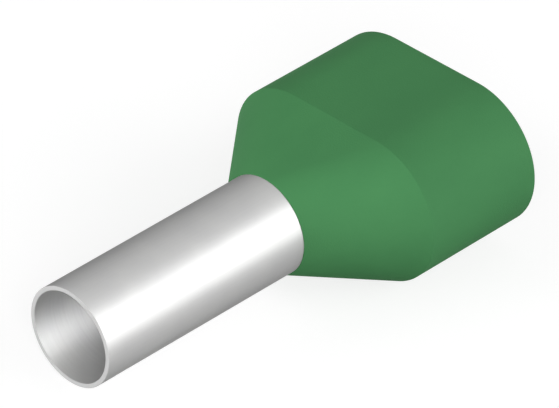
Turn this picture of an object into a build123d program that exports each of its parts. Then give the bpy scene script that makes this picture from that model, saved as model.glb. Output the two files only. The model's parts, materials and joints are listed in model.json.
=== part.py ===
from build123d import *
import os

# A twin wire-end ferrule: a tinned copper sleeve in a moulded collar for two insulated wires.
# Lengths are in millimetres. X runs along the bore, from the sleeve's open front end at x = 0 to
# the collar's mouth. Y is across the collar's width, and Z is up, square to its flat top.

# Sleeve
pin_length = 14.0  # bare tube in front of the collar
bore_diameter = 5.2
sleeve_wall = 0.25
pin_end_round = 0.03  # on both edges of the open front end
grip_length = 0.2  # plain tube under the collar's rim, before the flare begins
flare_length = 2.5
flare_rise = 0.35  # how far the flare's rim stands out from the tube

# Collar
taper_length = 5.15  # from the rim on the tube to the crease
straight_length = 7.7  # from the crease to the mouth
collar_width = 14.4
collar_height = 8.4
collar_wall = 0.7  # round the pocket for the two insulated wires
rim_wall = 0.02  # the feather edge in which the taper ends on the tube
flat_run_out = 0.04  # to this the flats narrow where the taper and the funnel are all but round
funnel_length = 2.9  # inside, from the flare's rim to the pocket
seat_ledge = 0.05  # step outside the flare's rim, where the funnel begins
mouth_round = 0.05  # outer edge of the mouth
mouth_lead_in = 0.3  # inner edge of the mouth

# Worked out from the sizes above
sleeve_radius = bore_diameter / 2 + sleeve_wall
rim_radius = sleeve_radius + rim_wall
flare_radius = sleeve_radius + flare_rise
funnel_radius = flare_radius + seat_ledge
flare_start = pin_length + grip_length
flare_end = flare_start + flare_length
crease = pin_length + taper_length
mouth = crease + straight_length
pocket_start = flare_end + funnel_length
flat_width = collar_width - collar_height
pocket_height = collar_height - 2 * collar_wall


def sleeve_outline():
    """The sleeve's outer line, as distance along X and radius: a tube, then a trumpet flare."""
    with BuildLine() as outline:
        tube = Line((0, sleeve_radius), (flare_start, sleeve_radius))
        TangentArc(tube @ 1, (flare_end, flare_radius), tangent=tube % 1)
    return outline.line


# The sleeve is one drawn tube. Its wall lies inside the outer line, round the flare as well, so
# the flare's end is cut square to the wall.
with BuildPart() as metal_sleeve:
    with BuildSketch(Plane.XZ):
        with BuildLine():
            add(sleeve_outline())
            offset(amount=sleeve_wall, side=Side.RIGHT)
        make_face()
    revolve(axis=Axis.X)
    front_end = metal_sleeve.faces().sort_by(Axis.X)[0]
    fillet(front_end.edges(), radius=pin_end_round)

with BuildPart() as plastic_collar:
    # The taper: a flat triangle above and below, and a cone at each side
    with BuildSketch(Plane.YZ.offset(pin_length)):
        SlotCenterToCenter(flat_run_out, 2 * rim_radius)
    with BuildSketch(Plane.YZ.offset(crease)):
        SlotCenterToCenter(flat_width, collar_height)
    loft(ruled=True)

    # The straight part, from the crease to the mouth
    with BuildSketch(Plane.YZ.offset(crease)):
        SlotCenterToCenter(flat_width, collar_height)
    extrude(amount=straight_length)

    # The pocket for the two insulated wires
    with BuildSketch(Plane.YZ.offset(pocket_start)):
        SlotCenterToCenter(flat_width, pocket_height)
    extrude(amount=mouth - pocket_start, mode=Mode.SUBTRACT)

    # The funnel that leads both wires into the sleeve
    with BuildSketch(Plane.YZ.offset(flare_end)):
        SlotCenterToCenter(flat_run_out, 2 * funnel_radius)
    with BuildSketch(Plane.YZ.offset(pocket_start)):
        SlotCenterToCenter(flat_width, pocket_height)
    loft(ruled=True, mode=Mode.SUBTRACT)

    # The seat, which has the sleeve's own outer line
    with BuildSketch(Plane.XZ):
        with BuildLine():
            add(sleeve_outline())
            Polyline((flare_end, flare_radius), (flare_end, 0), (0, 0), (0, sleeve_radius))
        make_face()
    revolve(axis=Axis.X, mode=Mode.SUBTRACT)

    mouth_face = plastic_collar.faces().sort_by(Axis.X)[-1]
    fillet(mouth_face.outer_wire().edges(), radius=mouth_round)
    mouth_face = plastic_collar.faces().sort_by(Axis.X)[-1]
    chamfer(mouth_face.inner_wires()[0].edges(), length=mouth_lead_in)

metal_sleeve.part.label = "metal_sleeve"
plastic_collar.part.label = "plastic_collar"

os.makedirs("parts", exist_ok=True)
export_step(metal_sleeve.part, "parts/metal_sleeve.step")
export_step(plastic_collar.part, "parts/plastic_collar.step")
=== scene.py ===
import json
import math

import bmesh
import bpy
from mathutils import Matrix, Vector


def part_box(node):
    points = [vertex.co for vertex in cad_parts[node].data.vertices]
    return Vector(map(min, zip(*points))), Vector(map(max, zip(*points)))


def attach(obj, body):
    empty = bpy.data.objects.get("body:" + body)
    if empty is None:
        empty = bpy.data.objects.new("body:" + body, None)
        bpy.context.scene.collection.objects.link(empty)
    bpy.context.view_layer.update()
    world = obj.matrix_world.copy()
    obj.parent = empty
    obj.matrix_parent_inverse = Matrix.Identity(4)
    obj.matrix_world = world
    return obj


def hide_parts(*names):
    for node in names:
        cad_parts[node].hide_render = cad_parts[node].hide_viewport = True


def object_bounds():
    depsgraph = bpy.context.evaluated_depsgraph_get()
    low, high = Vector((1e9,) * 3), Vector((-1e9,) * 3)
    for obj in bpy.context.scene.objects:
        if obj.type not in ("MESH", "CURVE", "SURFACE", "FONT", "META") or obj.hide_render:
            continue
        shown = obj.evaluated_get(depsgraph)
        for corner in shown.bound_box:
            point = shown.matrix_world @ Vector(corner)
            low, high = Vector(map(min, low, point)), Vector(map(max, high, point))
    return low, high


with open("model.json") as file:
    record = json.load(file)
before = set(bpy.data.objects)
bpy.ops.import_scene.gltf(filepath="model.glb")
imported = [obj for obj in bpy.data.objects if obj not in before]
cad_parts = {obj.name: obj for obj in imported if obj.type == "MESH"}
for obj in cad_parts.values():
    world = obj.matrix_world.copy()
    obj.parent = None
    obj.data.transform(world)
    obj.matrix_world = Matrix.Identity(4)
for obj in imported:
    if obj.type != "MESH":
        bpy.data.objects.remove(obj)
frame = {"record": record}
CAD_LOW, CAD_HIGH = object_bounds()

# A twin wire-end ferrule: a tinned sleeve in a moulded collar. Lengths are in metres.
MM = 0.001

# Sizes of the CAD model, from the frame
MOUNTS = {mount["name"]: mount for mount in frame["record"]["mounts"]}
SLEEVE_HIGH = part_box("metal_sleeve")[1]
COLLAR_LOW, COLLAR_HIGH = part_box("plastic_collar")
BORE_MOUTH = Vector(MOUNTS["wire_bore"]["pos_m"])
BORE_RADIUS = MOUNTS["wire_bore"]["dims"]["r_mm"] * MM
TUBE_RADIUS = MOUNTS["contact_pin"]["dims"]["r_mm"] * MM
FLARE_RADIUS = SLEEVE_HIGH.z
RIM_X = COLLAR_LOW.x
MOUTH_X = COLLAR_HIGH.x
END_RADIUS = COLLAR_HIGH.z
OBJECT_CENTRE = (CAD_LOW + CAD_HIGH) / 2

# Sizes that the frame doesn't say, as the CAD model has them
HALF_FLAT = 3.0 * MM  # across the collar's flat top, from its middle
GRIP_LENGTH = 0.2 * MM
FLARE_LENGTH = 2.5 * MM
TAPER_LENGTH = 5.15 * MM
FUNNEL_LENGTH = 2.9 * MM
COLLAR_WALL = 0.7 * MM
RIM_WALL = 0.02 * MM  # the feather edge in which the taper ends on the tube
SEAT_LEDGE = 0.05 * MM
HALF_RUN_OUT = 0.02 * MM  # to this the flats narrow where taper and funnel are all but round
PIN_END_ROUND = 0.03 * MM
MOUTH_ROUND = 0.05 * MM
MOUTH_LEAD_IN = 0.3 * MM

FLARE_START = RIM_X + GRIP_LENGTH
FLARE_END = FLARE_START + FLARE_LENGTH
CREASE_X = RIM_X + TAPER_LENGTH
POCKET_START = FLARE_END + FUNNEL_LENGTH
POCKET_RADIUS = END_RADIUS - COLLAR_WALL

# Fineness of the meshes
END_STEPS = 96
FLAT_STEPS = 10
TUBE_STEPS = 2 * (END_STEPS + FLAT_STEPS)
LENGTH_STEPS = 24
FACE_STEPS = 8
ROUND_STEPS = 5
FLARE_STEPS = 14

# Places in the sleeve's list of materials
OUTSIDE, BORE, CUT_END = range(3)


def arc(centre, radius, start, end, steps):
    """Points on an arc in the half plane of distance along X and radius, angles in degrees from +X."""
    points = []
    for i in range(steps + 1):
        angle = math.radians(start + (end - start) * i / steps)
        points.append((centre[0] + radius * math.cos(angle), centre[1] + radius * math.sin(angle)))
    return points


def between(start, end, steps):
    """Points evenly spaced from start to end, both included."""
    return [tuple(a + (b - a) * i / steps for a, b in zip(start, end)) for i in range(steps + 1)]


def flare_arc(start_radius):
    """The flare's line on one side of its wall: it leaves the tube at start_radius and curves out."""
    rise = FLARE_RADIUS - TUBE_RADIUS
    bend = (FLARE_LENGTH ** 2 + rise ** 2) / (2 * rise)
    turn = math.degrees(math.asin(FLARE_LENGTH / bend))
    centre = (FLARE_START, TUBE_RADIUS + bend)
    return arc(centre, centre[1] - start_radius, -90, -90 + turn, FLARE_STEPS)


def round_ring(x, radius):
    """A ring of points round the tube."""
    ring = []
    for i in range(TUBE_STEPS):
        angle = 2 * math.pi * i / TUBE_STEPS
        ring.append(Vector((x, radius * math.cos(angle), radius * math.sin(angle))))
    return ring


def slot_ring(x, half_flat, radius):
    """A ring of points round a slot section: the end on +Y, the top flat, the end on -Y, below."""
    ring = []
    for side in (1, -1):
        for i in range(END_STEPS):
            angle = math.radians(-90 + 180 * i / END_STEPS)
            y = side * (half_flat + radius * math.cos(angle))
            ring.append(Vector((x, y, side * radius * math.sin(angle))))
        for i in range(FLAT_STEPS):
            y = side * half_flat * (1 - 2 * i / FLAT_STEPS)
            ring.append(Vector((x, y, side * radius)))
    return ring


def add_object(name, data):
    """A new object in the scene."""
    added = bpy.data.objects.new(name, data)
    bpy.context.scene.collection.objects.link(added)
    return added


def add_mesh(name, bm):
    """A new object with the mesh that bm holds, which is freed."""
    mesh = bpy.data.meshes.new(name)
    bm.to_mesh(mesh)
    bm.free()
    return add_object(name, mesh)


def skin(name, rings, creases):
    """A closed skin through the rings, the last joined to the first, smooth but at the creases."""
    bm = bmesh.new()
    loops = [[bm.verts.new(point) for point in ring] for ring in rings]
    for i, loop in enumerate(loops):
        following = loops[(i + 1) % len(loops)]
        for j in range(len(loop)):
            k = (j + 1) % len(loop)
            face = bm.faces.new((loop[j], following[j], following[k], loop[k]))
            face.smooth = True
    bm.normal_update()
    if bm.calc_volume(signed=True) < 0:
        bmesh.ops.reverse_faces(bm, faces=bm.faces)
    for i in creases:
        for j in range(len(loops[i])):
            edge = bm.edges.get((loops[i][j], loops[i][(j + 1) % len(loops[i])]))
            edge.smooth = False
    return add_mesh(name, bm)


def make_sleeve():
    """The tinned tube: its outer side, the flare inside the collar, the bore and the cut end."""
    r = PIN_END_ROUND
    line = arc((r, TUBE_RADIUS - r), r, 180, 90, ROUND_STEPS)
    line += between((r, TUBE_RADIUS), (FLARE_START, TUBE_RADIUS), LENGTH_STEPS)[1:-1]
    line += flare_arc(TUBE_RADIUS)
    flare_edge = len(line) - 1
    line += reversed(flare_arc(BORE_RADIUS))
    line += between((FLARE_START, BORE_RADIUS), (r, BORE_RADIUS), LENGTH_STEPS)[1:-1]
    line += arc((r, BORE_RADIUS + r), r, -90, -180, ROUND_STEPS)
    rings = [round_ring(x, radius) for x, radius in line]
    piece = skin("tinned_sleeve", rings, [flare_edge, flare_edge + 1])

    for material in (tinned_metal(), bore_metal(), cut_metal()):
        piece.data.materials.append(material)
    bore_start = flare_edge + 1
    bore_end = len(line) - 1 - ROUND_STEPS
    for i, face in enumerate(piece.data.polygons):
        band = i // TUBE_STEPS  # each band of faces joins one ring to the next
        if bore_start <= band < bore_end:
            face.material_index = BORE
        elif band < ROUND_STEPS or band >= bore_end:
            face.material_index = CUT_END
        else:
            face.material_index = OUTSIDE
    return piece


def make_collar():
    """The moulded collar: outside from the rim to the mouth, and back through the pocket."""
    r = MOUTH_ROUND
    rim = (RIM_X, HALF_RUN_OUT, TUBE_RADIUS + RIM_WALL)
    crease = (CREASE_X, HALF_FLAT, END_RADIUS)
    mouth_outer = (MOUTH_X - r, HALF_FLAT, END_RADIUS)
    mouth_arc = arc((MOUTH_X - r, END_RADIUS - r), r, 90, 0, ROUND_STEPS)
    mouth_inner = (MOUTH_X, HALF_FLAT, POCKET_RADIUS + MOUTH_LEAD_IN)
    pocket_mouth = (MOUTH_X - MOUTH_LEAD_IN, HALF_FLAT, POCKET_RADIUS)
    pocket_floor = (POCKET_START, HALF_FLAT, POCKET_RADIUS)
    seat_outer = (FLARE_END, HALF_RUN_OUT, FLARE_RADIUS + SEAT_LEDGE)

    sections = between(rim, crease, FACE_STEPS)
    creases = [0, len(sections) - 1]
    sections += between(crease, mouth_outer, FACE_STEPS)[1:-1]
    sections += [(x, HALF_FLAT, z) for x, z in mouth_arc]
    sections += [mouth_inner, pocket_mouth]
    creases += [len(sections) - 2, len(sections) - 1]
    sections += between(pocket_mouth, pocket_floor, FACE_STEPS)[1:]
    creases.append(len(sections) - 1)
    sections += between(pocket_floor, seat_outer, FACE_STEPS)[1:]
    creases.append(len(sections) - 1)
    sections += [(x, 0.0, z) for x, z in reversed(flare_arc(TUBE_RADIUS))]
    creases.append(len(sections) - 1 - FLARE_STEPS)
    sections.append((RIM_X, 0.0, TUBE_RADIUS))
    creases.append(len(sections) - 1)

    piece = skin("moulded_collar", [slot_ring(*section) for section in sections], creases)
    piece.data.materials.append(moulded_plastic())
    return piece


# Noise lies mostly between these two values
NOISE_LOW, NOISE_HIGH = 0.3, 0.7
NOISE_DETAIL = 3


def add_node(tree, kind, inputs=None, **settings):
    """A new node, with its settings, and its inputs set to values or linked to outputs."""
    node = tree.nodes.new(kind)
    for name, value in settings.items():
        setattr(node, name, value)
    for name, value in (inputs or {}).items():
        if isinstance(value, bpy.types.NodeSocket):
            tree.links.new(value, node.inputs[name])
        else:
            node.inputs[name].default_value = value
    return node


def grain(tree, size, stretch=(1, 1, 1)):
    """Noise with features of about one size, in metres, drawn out along the axes by stretch."""
    place = add_node(tree, "ShaderNodeTexCoord").outputs["Object"]
    scale = [1 / factor for factor in stretch]
    scaled = add_node(tree, "ShaderNodeMapping", {"Vector": place, "Scale": scale})
    noise = add_node(tree, "ShaderNodeTexNoise", {"Vector": scaled.outputs["Vector"],
                                                  "Scale": 1 / size, "Detail": NOISE_DETAIL})
    return noise.outputs["Fac"]


def spread(tree, noise, low, high):
    """Takes the noise's usual values to the range from low to high."""
    node = add_node(tree, "ShaderNodeMapRange", {"Value": noise, "From Min": NOISE_LOW,
                                                 "From Max": NOISE_HIGH, "To Min": low, "To Max": high})
    return node.outputs["Result"]


def blend_colours(tree, noise, first, second):
    """A colour that wanders between two colours with the noise."""
    node = add_node(tree, "ShaderNodeMix", data_type="RGBA")
    tree.links.new(spread(tree, noise, 0, 1), node.inputs["Factor"])
    node.inputs["A"].default_value = (*first, 1)
    node.inputs["B"].default_value = (*second, 1)
    return node.outputs["Result"]


def add_bump(tree, shader, noise, depth):
    """Lets the noise stand out of the surface by depth."""
    bump = add_node(tree, "ShaderNodeBump", {"Height": noise, "Distance": depth})
    tree.links.new(bump.outputs["Normal"], shader.inputs["Normal"])


def new_material(name):
    """A new material, its node tree and its main shader."""
    material = bpy.data.materials.new(name)
    material.use_nodes = True
    tree = material.node_tree
    return material, tree, tree.nodes["Principled BSDF"]


# The plating, and the fine lines that drawing the tube leaves in it
MOTTLE_SIZE = 1.6 * MM
DRAWN_LINE_WIDTH = 0.16 * MM
DRAWN_LINE_DEPTH = 0.0012 * MM


def tin(name, colours, edge, roughness, stretch):
    """Satin tin plating: soft mottling, and faint lines drawn out along the axes by stretch."""
    material, tree, shader = new_material(name)
    mottle = grain(tree, MOTTLE_SIZE)
    lines = grain(tree, DRAWN_LINE_WIDTH, stretch)
    tree.links.new(blend_colours(tree, mottle, *colours), shader.inputs["Base Color"])
    tree.links.new(spread(tree, lines, *roughness), shader.inputs["Roughness"])
    add_bump(tree, shader, lines, DRAWN_LINE_DEPTH)
    shader.inputs["Metallic"].default_value = 1.0
    shader.inputs["Specular Tint"].default_value = (*edge, 1)
    return material, tree, shader


# The tube's outer side
TIN_COLOURS = ((0.504, 0.504, 0.504), (0.529, 0.529, 0.524))
TIN_EDGE = (0.08, 0.08, 0.08)
TIN_ROUGHNESS = (0.47, 0.525)
TIN_LINE_STRETCH = (60, 1, 1)


def tinned_metal():
    """The tube's outer side, with the long lines of drawing."""
    return tin("tinned_metal", TIN_COLOURS, TIN_EDGE, TIN_ROUGHNESS, TIN_LINE_STRETCH)[0]


# The bore
BORE_COLOURS = ((0.49, 0.49, 0.49), (0.52, 0.52, 0.515))
BORE_EDGE = (0.12, 0.12, 0.12)
BORE_ROUGHNESS = (0.70, 0.76)
BORE_MARK_STRETCH = (1, 20, 20)
BORE_ANISOTROPY = 0.74
QUARTER_TURN = 0.25  # from the tangent, which runs round the bore


def bore_metal():
    """The bore's wall, duller, with fine marks that run round it and spread light along it."""
    material, tree, shader = tin("bore_metal", BORE_COLOURS, BORE_EDGE, BORE_ROUGHNESS,
                                 BORE_MARK_STRETCH)
    shader.inputs["Anisotropic"].default_value = BORE_ANISOTROPY
    shader.inputs["Anisotropic Rotation"].default_value = QUARTER_TURN
    tangent = add_node(tree, "ShaderNodeTangent", direction_type="RADIAL", axis="X")
    tree.links.new(tangent.outputs["Tangent"], shader.inputs["Tangent"])
    return material


def roughen(tree, shader, fine, roughness, depth, specular):
    """Makes a surface dull: its roughness and a shallow relief follow the fine grain."""
    tree.links.new(spread(tree, fine, *roughness), shader.inputs["Roughness"])
    add_bump(tree, shader, fine, depth)
    shader.inputs["Specular IOR Level"].default_value = specular


# The cut end
CUT_COLOURS = ((0.545, 0.545, 0.545), (0.57, 0.57, 0.565))
CUT_ROUGHNESS = (0.70, 0.80)
CUT_SPECULAR = 0.04
CUT_GRAIN = 0.08 * MM
CUT_DEPTH = 0.004 * MM


def cut_metal():
    """The ring at the tube's open end, as the cut leaves it: matt, and evenly grey all round."""
    material, tree, shader = new_material("cut_metal")
    fine = grain(tree, CUT_GRAIN)
    tree.links.new(blend_colours(tree, fine, *CUT_COLOURS), shader.inputs["Base Color"])
    roughen(tree, shader, fine, CUT_ROUGHNESS, CUT_DEPTH, CUT_SPECULAR)
    return material


# The collar's plastic
GREEN_COLOURS = ((0.060, 0.216, 0.081), (0.066, 0.234, 0.087))
FLOW_SIZE = 3.0 * MM
FLOW_STRETCH = (2, 1, 1)
PLASTIC_ROUGHNESS = (0.68, 0.76)
PLASTIC_SPECULAR = 0.04
MOULD_GRAIN = 0.09 * MM
MOULD_DEPTH = 0.014 * MM


def moulded_plastic():
    """Satin moulded plastic: a faint flow mottle, and the fine grain that the mould leaves."""
    material, tree, shader = new_material("moulded_plastic")
    flow = grain(tree, FLOW_SIZE, FLOW_STRETCH)
    fine = grain(tree, MOULD_GRAIN)
    tree.links.new(blend_colours(tree, flow, *GREEN_COLOURS), shader.inputs["Base Color"])
    roughen(tree, shader, fine, PLASTIC_ROUGHNESS, MOULD_DEPTH, PLASTIC_SPECULAR)
    return material


# The floor, on which the ferrule lies: it touches the sleeve's front end and the crease's lower edge
FLOOR_RADIUS = 90 * MM
FLOOR_SIDES = 96
FLOOR_GAP = 0.01 * MM
FLOOR_GREY = 0.33
FLOOR_GLOW = 0.768  # what the camera sees on top of the light that the floor gets, to make it white


def sees_backdrop(tree):
    """1 for rays from the camera, and for those that metal or glass sends on, else 0."""
    path = add_node(tree, "ShaderNodeLightPath").outputs
    either = add_node(tree, "ShaderNodeMath", {0: path["Is Camera Ray"], 1: path["Is Glossy Ray"]},
                      operation="MAXIMUM")
    either = add_node(tree, "ShaderNodeMath", {0: either.outputs[0], 1: path["Is Transmission Ray"]},
                      operation="MAXIMUM")
    return either.outputs[0]


def floor_place():
    """The frame of the floor, which leans with the ferrule's lower side."""
    lean = math.atan2(END_RADIUS - TUBE_RADIUS, CREASE_X)
    middle = CAD_HIGH.x / 2
    height = -TUBE_RADIUS - middle * math.tan(lean) - FLOOR_GAP
    return Matrix.Translation((middle, 0, height)) @ Matrix.Rotation(lean, 4, "Y")


def floor_white():
    """A matt floor that takes shadows, and that the camera and the metal see as white."""
    material, tree, shader = new_material("studio_white")
    shader.inputs["Base Color"].default_value = (FLOOR_GREY, FLOOR_GREY, FLOOR_GREY, 1)
    shader.inputs["Roughness"].default_value = 1.0
    shader.inputs["Specular IOR Level"].default_value = 0.0
    share = add_node(tree, "ShaderNodeMath", {0: sees_backdrop(tree), 1: FLOOR_GLOW},
                     operation="MULTIPLY")
    glow = add_node(tree, "ShaderNodeEmission", {"Strength": share.outputs[0]})
    both = add_node(tree, "ShaderNodeAddShader", {0: shader.outputs[0], 1: glow.outputs[0]})
    tree.links.new(both.outputs[0], tree.nodes["Material Output"].inputs["Surface"])
    return material


def make_floor():
    """A round white floor under the ferrule."""
    bm = bmesh.new()
    bmesh.ops.create_circle(bm, cap_ends=True, segments=FLOOR_SIDES, radius=FLOOR_RADIUS)
    floor = add_mesh("studio_floor", bm)
    floor.matrix_world = floor_place()
    floor.data.materials.append(floor_white())


# The world
WHITE = (1, 1, 1, 1)
WORLD_FILL = 0.312  # how strongly it lights the ferrule


def make_world():
    """A world that is seen as white, and that lights the ferrule softly from all round."""
    world = bpy.data.worlds.new("studio")
    world.use_nodes = True
    tree = world.node_tree
    tree.nodes.clear()
    seen = add_node(tree, "ShaderNodeBackground", {"Color": WHITE})
    fill = add_node(tree, "ShaderNodeBackground", {"Color": WHITE, "Strength": WORLD_FILL})
    mix = add_node(tree, "ShaderNodeMixShader", {"Fac": sees_backdrop(tree), 1: fill.outputs[0],
                                                 2: seen.outputs[0]})
    out = add_node(tree, "ShaderNodeOutputWorld")
    tree.links.new(mix.outputs[0], out.inputs["Surface"])
    bpy.context.scene.world = world


# The cards, which only the metal mirrors. Directions are from the ferrule's centre, and for the
# bore's card from the bore's mouth. A size is first along X, or level for the card behind, and
# then square to that. A strength of 1 is white.
ALONG_X = (1, 0, 0)

BACK_CARD_DIRECTION = (0.60, 0.75, 0.28)
BACK_CARD_DISTANCE = 120 * MM
BACK_CARD_SIZE = (300 * MM, 140 * MM)
BACK_CARD_STRENGTH = 0.73

KEY_DIRECTION = (0.45, -0.81, 0.375)
KEY_SIZE = (900 * MM, 750 * MM)
BRIGHT_CARD_DISTANCE = 880 * MM
BRIGHT_CARD_STRENGTH = 3.83

BORE_DIRECTION = (-0.86, -0.5, 0.06)
BORE_CARD_DISTANCE = 15 * MM
BORE_CARD_SIZE = (6 * MM, 13 * MM)
BORE_CARD_STRENGTH = 34.0

# The two cards on the floor, which meet just before the sleeve's front end
FLOOR_CARD_HEIGHT = 0.1 * MM
FLOOR_CARD_WIDTH = 60 * MM
CARDS_MEET = -13.5 * MM  # along the floor, from its middle
LOW_CARD_LENGTH = 46 * MM
LOW_CARD_STRENGTH = 0.79
NEAR_CARD_LENGTH = 3.5 * MM
NEAR_CARD_STRENGTH = 0.05


def facing(direction, distance, level=ALONG_X, target=OBJECT_CENTRE):
    """The frame of something that faces the target, its first side square to the level direction."""
    back = Vector(direction).normalized()
    side = (Vector(level) - back * back.dot(Vector(level))).normalized()
    place = Matrix((side, back.cross(side), back)).transposed().to_4x4()
    place.translation = target + back * distance
    return place


def make_card(name, place, size, strength):
    """A plain glowing card that is seen in reflections only."""
    bm = bmesh.new()
    bmesh.ops.create_grid(bm, x_segments=1, y_segments=1, size=0.5)
    for vert in bm.verts:
        vert.co.x *= size[0]
        vert.co.y *= size[1]
    card = add_mesh(name, bm)
    card.matrix_world = place
    material, tree, _ = new_material(name)
    glow = add_node(tree, "ShaderNodeEmission", {"Strength": strength})
    tree.links.new(glow.outputs[0], tree.nodes["Material Output"].inputs["Surface"])
    card.data.materials.append(material)
    card.visible_camera = False
    card.visible_diffuse = False
    card.visible_shadow = False
    card.visible_transmission = False


def make_floor_card(name, start, end, strength):
    """A card on the floor, from start to end along it, measured from the floor's middle."""
    place = floor_place() @ Matrix.Translation(((start + end) / 2, 0, FLOOR_CARD_HEIGHT))
    make_card(name, place, (end - start, FLOOR_CARD_WIDTH), strength)


def make_cards():
    """A grey card behind, a grey and a dark one on the floor, and bright ones at the key and the bore."""
    level = Vector((0, 0, 1)).cross(Vector(BACK_CARD_DIRECTION))
    back = facing(BACK_CARD_DIRECTION, BACK_CARD_DISTANCE, level)
    make_card("grey_card_back", back, BACK_CARD_SIZE, BACK_CARD_STRENGTH)
    make_floor_card("grey_card_low", CARDS_MEET, CARDS_MEET + LOW_CARD_LENGTH, LOW_CARD_STRENGTH)
    make_floor_card("grey_card_near", CARDS_MEET - NEAR_CARD_LENGTH, CARDS_MEET, NEAR_CARD_STRENGTH)
    bright = facing(KEY_DIRECTION, BRIGHT_CARD_DISTANCE)
    make_card("bright_card", bright, KEY_SIZE, BRIGHT_CARD_STRENGTH)
    mouth = facing(BORE_DIRECTION, BORE_CARD_DISTANCE, target=BORE_MOUTH)
    make_card("bore_card", mouth, BORE_CARD_SIZE, BORE_CARD_STRENGTH)


# The lamps, which give light and aren't mirrored
LAMP_DISTANCE = 900 * MM
KEY_WATTS = 3.88
FRONT_DIRECTION = (-0.62, -0.67, 0.41)
FRONT_SIZE = (480 * MM, 480 * MM)
FRONT_WATTS = 4.64
LEFT_DIRECTION = (-0.85, 0.49, 0.25)
LEFT_SIZE = (540 * MM, 540 * MM)
LEFT_WATTS = 5.36


def make_lamp(name, direction, size, watts):
    """A soft lamp that faces the ferrule."""
    data = bpy.data.lights.new(name, "AREA")
    data.shape = "RECTANGLE"
    data.size, data.size_y = size
    data.energy = watts
    lamp = add_object(name, data)
    lamp.matrix_world = facing(direction, LAMP_DISTANCE)
    lamp.visible_camera = False
    lamp.visible_glossy = False


def make_lamps():
    """The key lamp on the camera's right, one in front and one on its left."""
    make_lamp("key_lamp", KEY_DIRECTION, KEY_SIZE, KEY_WATTS)
    make_lamp("front_lamp", FRONT_DIRECTION, FRONT_SIZE, FRONT_WATTS)
    make_lamp("left_lamp", LEFT_DIRECTION, LEFT_SIZE, LEFT_WATTS)


# The photograph's camera. Angles are in degrees, and lens and sensor in millimetres.
CAMERA_AZIMUTH = -45.363
CAMERA_ELEVATION = 34.992
CAMERA_ROLL = 0.228
CAMERA_DISTANCE = 314.66 * MM
CAMERA_LENS = 400.6
CAMERA_SENSOR = 36.0
CAMERA_OFFSET = (10.615 * MM, 6.743 * MM)  # of the view's centre from the sleeve's front end
CAMERA_NEAREST = 10 * MM
CAMERA_FARTHEST = 10000 * MM


def make_camera():
    """The camera of the photograph, as fitted to the ferrule's outline."""
    azimuth = math.radians(CAMERA_AZIMUTH)
    elevation = math.radians(CAMERA_ELEVATION)
    back = Vector((math.sin(azimuth) * math.cos(elevation),
                   -math.cos(azimuth) * math.cos(elevation),
                   math.sin(elevation)))
    right = Vector((math.cos(azimuth), math.sin(azimuth), 0))
    up = back.cross(right)
    turn = Matrix.Rotation(math.radians(CAMERA_ROLL), 3, back)
    right = turn @ right
    up = turn @ up
    data = bpy.data.cameras.new("camera")
    data.sensor_width = CAMERA_SENSOR
    data.lens = CAMERA_LENS
    data.clip_start = CAMERA_NEAREST
    data.clip_end = CAMERA_FARTHEST
    camera = add_object("camera", data)
    place = Matrix((right, up, back)).transposed().to_4x4()
    place.translation = right * CAMERA_OFFSET[0] + up * CAMERA_OFFSET[1] + back * CAMERA_DISTANCE
    camera.matrix_world = place
    bpy.context.scene.camera = camera


sleeve = make_sleeve()
collar = make_collar()
for piece, node, slot in ((sleeve, "metal_sleeve", "tinned_copper"),
                          (collar, "plastic_collar", "moulded_plastic")):
    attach(piece, "root")
    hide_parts(node)

make_floor()
make_world()
make_cards()
make_lamps()
make_camera()
bpy.context.scene.view_settings.view_transform = "Standard"
